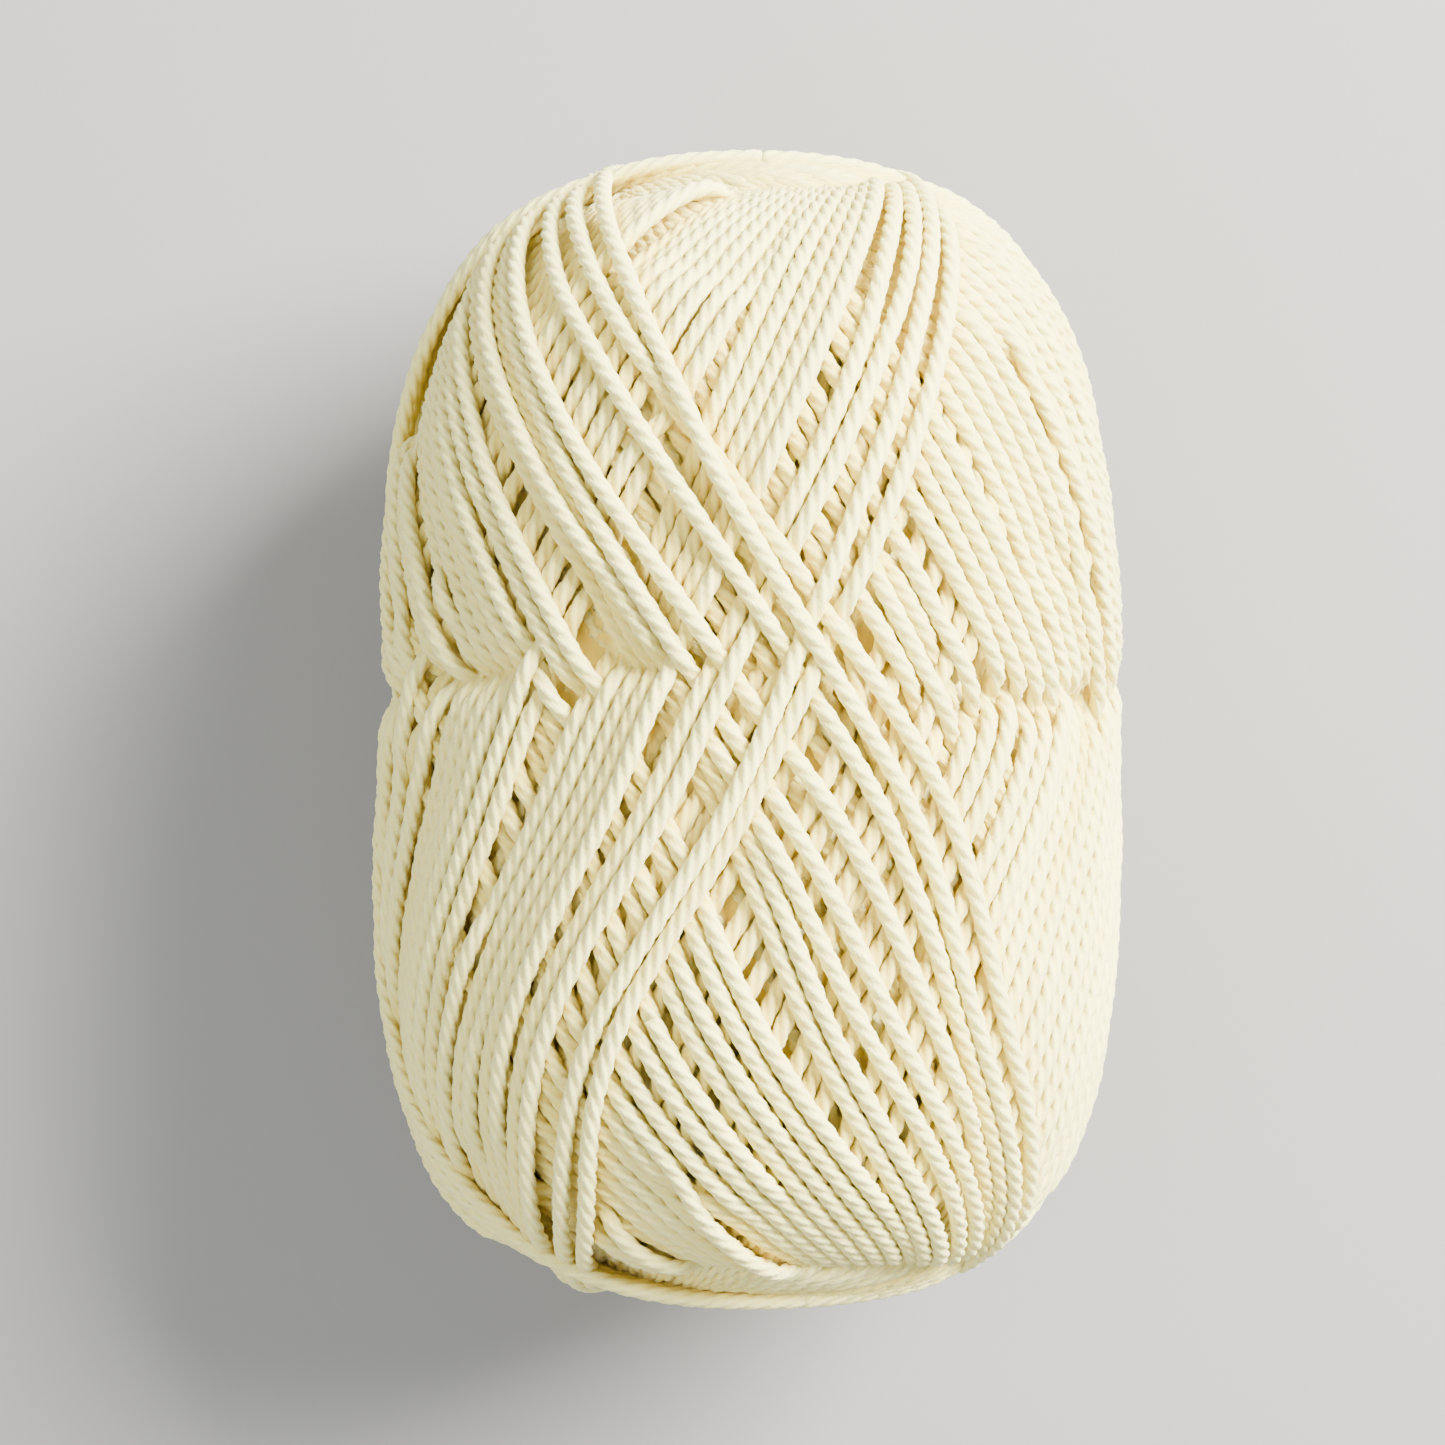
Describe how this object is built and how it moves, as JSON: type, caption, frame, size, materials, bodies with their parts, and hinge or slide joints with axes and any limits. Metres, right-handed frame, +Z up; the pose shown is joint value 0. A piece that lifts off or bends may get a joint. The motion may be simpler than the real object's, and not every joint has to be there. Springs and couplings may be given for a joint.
{
  "type": "ball of yarn",
  "caption": "Machine-wound centre-pull ball of plied cream yarn, lying on its side, with crossing strands and a hole through its middle.",
  "frame": {"origin": "on the surface the ball rests on, under the middle of its box", "axes": "+Y along the ball's long axis, +X across it, +Z up from its resting face"},
  "size_m": [0.0965, 0.1498, 0.0831],
  "materials": {
    "core_nest": "matte",
    "inner_winding": "matte",
    "middle_winding": "matte",
    "outer_winding": "matte",
    "strand": "matte"
  },
  "bodies": {
    "root": {"core_nest": "core_nest", "inner_winding": "inner_winding", "middle_winding": "middle_winding", "outer_winding": "outer_winding", "last_strand_1": "strand", "last_strand_2": "strand", "last_strand_3": "strand", "last_strand_4": "strand", "last_strand_5": "strand", "last_strand_6": "strand"}
  },
  "joints": []
}
